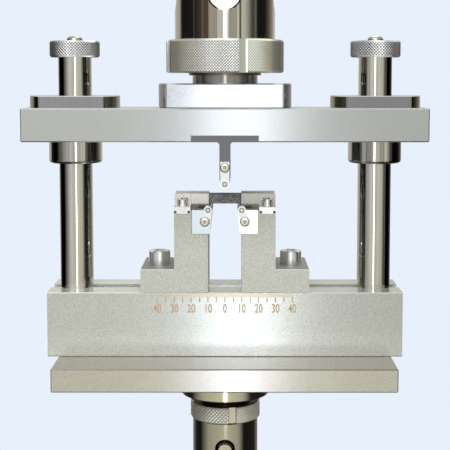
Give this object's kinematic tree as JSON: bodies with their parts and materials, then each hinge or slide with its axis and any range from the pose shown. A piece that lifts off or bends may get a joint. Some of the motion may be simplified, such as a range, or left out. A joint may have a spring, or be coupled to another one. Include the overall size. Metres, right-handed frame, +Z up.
{
  "type": "short beam shear fixture",
  "caption": "Short beam shear fixture: two sliding roller supports on a slotted base, side guides, and a loading roller on a crosshead that runs on guide posts.",
  "frame": {"origin": "centre of the lower sleeve's end face, on which the fixture stands", "axes": "+Z up along the coupling axis, +X to the right along the beam and the slot, -Y to the front with the scale"},
  "size_m": [0.241, 0.105, 0.3368],
  "materials": {
    "satin_steel": "bead-blasted satin",
    "warm_steel": "fine-milled satin, warm grey",
    "polished_steel": "ground and polished",
    "knurled_steel": "diamond knurled rim",
    "hardened_steel": "bright ground",
    "guide_steel": "satin",
    "dark_holder": "matt dark grey",
    "composite": "woven fibre laminate, matt",
    "fastener_steel": "plain stainless"
  },
  "bodies": {
    "base": {"lower_sleeve": "polished_steel", "lower_spigot": "polished_steel", "spigot_screws": "fastener_steel", "bottom_plate": "warm_steel", "base_block": "satin_steel", "block_screws": "fastener_steel", "post_screws": "fastener_steel", "left_post": "polished_steel", "right_post": "polished_steel", "left_stop_knob": "knurled_steel", "right_stop_knob": "knurled_steel", "left_knob_screw": "fastener_steel", "right_knob_screw": "fastener_steel"},
    "lower_ring": {"lower_lock_ring": "knurled_steel"},
    "lower_pin": {"lower_cross_pin": "polished_steel"},
    "crosshead": {"beam": "satin_steel", "left_bushing": "polished_steel", "right_bushing": "polished_steel", "left_bushing_screws": "fastener_steel", "right_bushing_screws": "fastener_steel", "nose_holder": "dark_holder", "holder_screws": "fastener_steel", "front_nose_clip": "hardened_steel", "rear_nose_clip": "hardened_steel", "nose_clip_screws": "fastener_steel", "upper_adapter": "polished_steel", "adapter_screws": "fastener_steel", "upper_sleeve": "polished_steel"},
    "nose_roller": {"nose_roller": "polished_steel"},
    "upper_nut": {"upper_lock_nut": "knurled_steel"},
    "upper_pin": {"upper_cross_pin": "polished_steel"},
    "left_support": {"left_support_block": "satin_steel", "left_roller_seat": "hardened_steel", "left_seat_screws": "fastener_steel", "left_front_clip": "hardened_steel", "left_rear_clip": "hardened_steel", "left_clip_screws": "fastener_steel", "left_clamp_bolt": "fastener_steel", "left_t_nut": "fastener_steel", "left_guide_screws": "fastener_steel", "test_coupon": "composite"},
    "left_roller": {"left_roller": "polished_steel"},
    "left_front_guide": {"left_front_guide": "guide_steel"},
    "left_rear_guide": {"left_rear_guide": "guide_steel"},
    "right_support": {"right_support_block": "satin_steel", "right_roller_seat": "hardened_steel", "right_seat_screws": "fastener_steel", "right_front_clip": "hardened_steel", "right_rear_clip": "hardened_steel", "right_clip_screws": "fastener_steel", "right_clamp_bolt": "fastener_steel", "right_t_nut": "fastener_steel", "right_guide_screws": "fastener_steel"},
    "right_roller": {"right_roller": "polished_steel"},
    "right_front_guide": {"right_front_guide": "guide_steel"},
    "right_rear_guide": {"right_rear_guide": "guide_steel"}
  },
  "joints": [
    {"name": "crosshead_slide", "type": "slide", "parent": "base", "child": "crosshead", "axis": [0, 0, 1], "range_m": [-0.0044, 0.0228]},
    {"name": "left_support_slide", "type": "slide", "parent": "base", "child": "left_support", "axis": [1, 0, 0], "range_m": [-0.03, 0.006]},
    {"name": "right_support_slide", "type": "slide", "parent": "base", "child": "right_support", "axis": [1, 0, 0], "range_m": [-0.006, 0.03]},
    {"name": "left_roller_spin", "type": "hinge", "parent": "left_support", "child": "left_roller", "pos_m": [-0.01, 0, 0.17465], "axis": [0, 1, 0], "continuous": true},
    {"name": "left_front_guide_slide", "type": "slide", "parent": "left_support", "child": "left_front_guide", "axis": [0, -1, 0], "range_m": [0, 0.0055]},
    {"name": "left_rear_guide_slide", "type": "slide", "parent": "left_support", "child": "left_rear_guide", "axis": [0, 1, 0], "range_m": [0, 0.0055]},
    {"name": "right_roller_spin", "type": "hinge", "parent": "right_support", "child": "right_roller", "pos_m": [0.01, 0, 0.17465], "axis": [0, 1, 0], "continuous": true},
    {"name": "right_front_guide_slide", "type": "slide", "parent": "right_support", "child": "right_front_guide", "axis": [0, -1, 0], "range_m": [0, 0.0055]},
    {"name": "right_rear_guide_slide", "type": "slide", "parent": "right_support", "child": "right_rear_guide", "axis": [0, 1, 0], "range_m": [0, 0.0055]},
    {"name": "nose_roller_spin", "type": "hinge", "parent": "crosshead", "child": "nose_roller", "pos_m": [0, 0, 0.1897], "axis": [0, 1, 0], "continuous": true},
    {"name": "upper_nut_turn", "type": "hinge", "parent": "crosshead", "child": "upper_nut", "pos_m": [0, 0, 0.265], "axis": [0, 0, 1], "continuous": true},
    {"name": "upper_pin_pull", "type": "slide", "parent": "crosshead", "child": "upper_pin", "axis": [0, -1, 0], "range_m": [0, 0.062]},
    {"name": "lower_ring_turn", "type": "hinge", "parent": "base", "child": "lower_ring", "pos_m": [0, 0, 0.05], "axis": [0, 0, 1], "continuous": true},
    {"name": "lower_pin_pull", "type": "slide", "parent": "base", "child": "lower_pin", "axis": [0, -1, 0], "range_m": [0, 0.042]}
  ]
}
